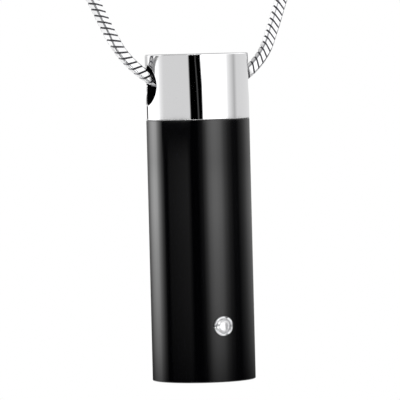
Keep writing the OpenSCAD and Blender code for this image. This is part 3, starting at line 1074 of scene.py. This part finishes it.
def tent_material(studio):
    """Light panels painted on the inside of a tent by angle and height."""
    material = bpy.data.materials.new("light tent")
    material.use_nodes = True
    tree = material.node_tree
    tree.nodes.clear()
    place = add_node(tree, "ShaderNodeTexCoord").outputs["Object"]
    x, y, z = add_node(tree, "ShaderNodeSeparateXYZ", {0: place}).outputs
    forward = add_node(tree, "ShaderNodeMath", {0: URN_AXIS.y * MM, 1: y}, operation="SUBTRACT").outputs[0]
    heading = add_node(tree, "ShaderNodeMath", {0: x, 1: forward}, operation="ARCTAN2").outputs[0]
    off = add_node(tree, "ShaderNodeMath", {0: heading, 1: studio.turn}, operation="SUBTRACT").outputs[0]
    wrapped = add_node(tree, "ShaderNodeMath", {0: off, 1: math.pi, 2: -math.pi}, operation="WRAP").outputs[0]
    right = add_node(tree, "ShaderNodeMath", {0: wrapped, 1: math.degrees(1)}, operation="MULTIPLY").outputs[0]
    height = add_node(tree, "ShaderNodeMath", {0: z, 1: 1 / MM}, operation="MULTIPLY").outputs[0]

    def patched(level, patches):
        for start, end, soft_turn, bottom, top, soft, glow in patches:
            sides, ends = within(tree, right, start, end, soft_turn), within(tree, height, bottom, top, soft)
            inside = add_node(tree, "ShaderNodeMath", {0: sides, 1: ends}, operation="MULTIPLY").outputs[0]
            level = add_node(tree, "ShaderNodeMix", {"Factor": inside, "A": level, "B": glow}).outputs[0]
        return level

    def blended(level, other, start, end, share=1.0):
        """Mixes another level in from one height to the next, up to a share."""
        factor = add_node(
            tree, "ShaderNodeMapRange", {"Value": height, "From Min": start, "From Max": end, "To Max": share}
        ).outputs[0]
        return add_node(tree, "ShaderNodeMix", {"Factor": factor, "A": level, "B": other}).outputs[0]

    upper = patched(ramp(tree, right, UPPER_PANELS), UPPER_PATCHES)
    # A ramp holds no levels under 0, so the bands' edges are counted from behind the camera
    half_turn = 180
    across = add_node(tree, "ShaderNodeMath", {0: right, 1: half_turn}, operation="ADD").outputs[0]
    for rows, soft, glow in BANDS:
        edges = [ramp(tree, height, [(row[0], row[k] + half_turn) for row in rows]) for k in (1, 2)]
        inside = within(tree, across, *edges, soft)
        upper = add_node(tree, "ShaderNodeMix", {"Factor": inside, "A": upper, "B": glow}).outputs[0]
    panels, fade = ramp(tree, right, LOWER_PANELS), ramp(tree, height, LOWER_FADE)
    lower = add_node(tree, "ShaderNodeMath", {0: panels, 1: fade}, operation="MULTIPLY").outputs[0]
    lower = blended(patched(lower, LOWER_PATCHES), upper, DEEP_FROM, DEEP_TO, DEEP_SHARE)
    level = blended(lower, upper, SEAM_LINE - SEAM_SOFT, SEAM_LINE + SEAM_SOFT)
    level = blended(level, patched(HIGH_LEVEL, HIGH_PATCHES), HIGH_FROM, HIGH_TO)
    glow = add_node(tree, "ShaderNodeEmission", {"Strength": level})
    add_node(tree, "ShaderNodeOutputMaterial", {"Surface": glow.outputs[0]})
    return material


def towards(turn, lift):
    """The direction at a turn from the front and an angle above level."""
    return Vector((math.sin(turn) * math.cos(lift), -math.cos(turn) * math.cos(lift), math.sin(lift)))


class PENDANT_OT_studio(Operator):
    """Sets up the camera, the pale floor, the light tent and the white surroundings"""

    bl_idname = "pendant.studio"
    bl_label = "Studio"

    def execute(self, context):
        studio, look = Sizes(context, "studio"), context.scene.pendant.finishes
        scene = context.scene
        lens = bpy.data.cameras.new("camera")
        lens.sensor_width, lens.lens = 36, studio.lens
        lens.clip_start, lens.clip_end = 0.01, 20
        camera = bpy.data.objects.new("camera", lens)
        scene.collection.objects.link(camera)
        middle = Vector((0, URN_AXIS.y, (CAP_HIGH.z + TUBE_LOW.z) / 2))
        back = towards(studio.aim_turn, studio.aim_lift)
        right = (-back).cross(Z_WAY).normalized()
        up = right.cross(-back)
        across = right * math.cos(studio.roll) + up * math.sin(studio.roll)
        upward = up * math.cos(studio.roll) - right * math.sin(studio.roll)
        place = Matrix((across, upward, back)).transposed().to_4x4()
        place.translation = (middle + towards(studio.turn, studio.lift) * studio.distance) * MM
        camera.matrix_world = place
        scene.camera = camera

        paper = bpy.data.materials.new("matt white paper")
        paper.use_nodes = True
        sheet = paper.node_tree.nodes["Principled BSDF"].inputs
        sheet["Base Color"].default_value = (*look.paper, 1)
        sheet["Roughness"].default_value = 0.9
        sheet["Emission Color"].default_value = (1, 1, 1, 1)
        sheet["Emission Strength"].default_value = PAPER_GLOW

        def ring(radius, height):
            centre = URN_AXIS + Vector((0, 0, height))
            return [p * MM for p in circle(centre, radius, X_WAY, Y_WAY, ROUND_STEPS)]

        points, faces = ring(studio.tent, studio.floor + 1), []
        for n, height in enumerate(TENT_ROWS):
            points += ring(studio.tent, height)
            for k in range(ROUND_STEPS):
                a, b = n * ROUND_STEPS + k, n * ROUND_STEPS + (k + 1) % ROUND_STEPS
                faces.append((a, a + ROUND_STEPS, b + ROUND_STEPS, b))
        stage = (
            ("floor", ring(studio.floor_radius, studio.floor), [range(ROUND_STEPS)], paper, True),
            ("light_tent", points, faces, tent_material(studio), False),
        )
        for name, points, faces, material, is_seen in stage:
            data = bpy.data.meshes.new(name)
            data.from_pydata(points, [], faces)
            data.materials.append(material)
            made = bpy.data.objects.new(name, data)
            made.visible_camera = made.visible_shadow = is_seen
            scene.collection.objects.link(made)

        world = bpy.data.worlds.new("white surroundings")
        world.use_nodes = True
        tree = world.node_tree
        tree.nodes.clear()
        way = add_node(tree, "ShaderNodeTexCoord").outputs["Generated"]
        high = add_node(tree, "ShaderNodeVectorMath", {0: way, 1: DARK_SKY}, operation="DOT_PRODUCT").outputs
        overhead = add_node(tree, "ShaderNodeMapRange", {"Value": high["Value"], **SKY_FADE}).outputs[0]
        seen = add_node(tree, "ShaderNodeLightPath").outputs["Is Camera Ray"]
        level = add_node(tree, "ShaderNodeMix", {"Factor": seen, "A": overhead, "B": 1.0}).outputs[0]
        sky = add_node(tree, "ShaderNodeBackground", {"Color": (1, 1, 1, 1), "Strength": level})
        add_node(tree, "ShaderNodeOutputWorld", {"Surface": sky.outputs[0]})
        scene.world = world
        scene.view_settings.view_transform = "Standard"
        return {"FINISHED"}


OPERATORS = (
    PENDANT_OT_studio, PENDANT_OT_chain, PENDANT_OT_cap, PENDANT_OT_tube, PENDANT_OT_stone, PENDANT_OT_fittings,
    PENDANT_OT_clasp,
)


class PENDANT_PT_panel(Panel):
    bl_label = "Urn pendant"
    bl_space_type = "VIEW_3D"
    bl_region_type = "UI"
    bl_category = "Pendant"

    def draw(self, context):
        for operator in OPERATORS:
            self.layout.operator(operator.bl_idname)
        pendant = context.scene.pendant
        for name in pendant.__annotations__:
            box = self.layout.box()
            box.label(text=name.capitalize())
            for key in getattr(pendant, name).__annotations__:
                box.prop(getattr(pendant, name), key)


GROUPS = (UrnSizes, StoneSizes, ChainSizes, FittingSizes, Finishes, Studio, Pendant)


def register():
    for item in (*GROUPS, *OPERATORS, PENDANT_PT_panel):
        bpy.utils.register_class(item)
    bpy.types.Scene.pendant = PointerProperty(type=Pendant)


def unregister():
    del bpy.types.Scene.pendant
    for item in reversed((*GROUPS, *OPERATORS, PENDANT_PT_panel)):
        bpy.utils.unregister_class(item)


def main():
    register()
    bpy.ops.pendant.studio()
    bpy.ops.pendant.chain()
    bpy.ops.pendant.cap()
    bpy.ops.pendant.tube()
    bpy.ops.pendant.stone()
    bpy.ops.pendant.fittings()
    bpy.ops.pendant.clasp()


if __name__ == "__main__":
    main()
